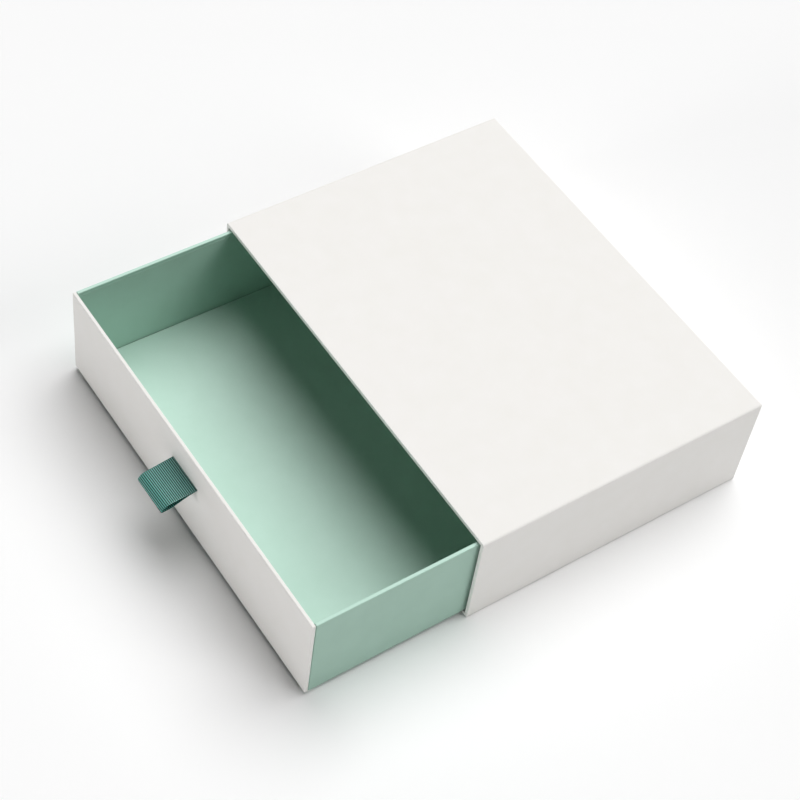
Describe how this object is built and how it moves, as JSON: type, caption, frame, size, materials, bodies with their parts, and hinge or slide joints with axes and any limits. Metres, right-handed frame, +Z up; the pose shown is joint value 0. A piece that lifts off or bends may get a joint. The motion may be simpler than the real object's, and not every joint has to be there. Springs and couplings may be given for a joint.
{
  "type": "sliding drawer gift box",
  "caption": "Rigid paper-covered gift box: a mint-lined drawer with a teal ribbon pull slides out of a white sleeve that is open at one end.",
  "frame": {"origin": "middle of the sleeve's underside, on the surface that the box stands on", "axes": "+Z up; -Y out of the sleeve's mouth, the way the drawer opens; +X to the right of someone who faces the mouth"},
  "size_m": [0.22, 0.2665, 0.0585],
  "materials": {
    "greyboard": "uncoated greyboard, matt",
    "gummed_tape": "kraft paper, matt",
    "white_wrap": "matt laminated art paper",
    "white_lining": "uncoated woodfree paper",
    "mint_wrap": "matt printed art paper",
    "mint_lining": "matt printed art paper",
    "grosgrain_ribbon": "ribbed polyester grosgrain with a soft sheen"
  },
  "bodies": {
    "sleeve": {"sleeve_top_board": "greyboard", "sleeve_bottom_board": "greyboard", "sleeve_left_board": "greyboard", "sleeve_right_board": "greyboard", "sleeve_back_board": "greyboard", "sleeve_stay_tapes": "gummed_tape", "sleeve_wrap": "white_wrap", "sleeve_lining": "white_lining", "sleeve_back_lining": "white_lining", "sleeve_back_sheet": "white_wrap", "sleeve_underside_sheet": "white_wrap"},
    "drawer": {"drawer_front_board": "greyboard", "drawer_left_board": "greyboard", "drawer_right_board": "greyboard", "drawer_back_board": "greyboard", "drawer_base_board": "greyboard", "drawer_stay_tapes": "gummed_tape", "drawer_front_wrap": "white_wrap", "drawer_tray_wrap": "mint_wrap", "drawer_wall_lining": "mint_lining", "drawer_floor_card": "mint_lining", "drawer_underside_sheet": "mint_wrap", "ribbon_pull": "grosgrain_ribbon", "ribbon_anchor_patch": "gummed_tape"}
  },
  "joints": [
    {"name": "drawer_slide", "type": "slide", "parent": "sleeve", "child": "drawer", "axis": [0, -1, 0], "range_m": [-0.086, 0.08]}
  ]
}
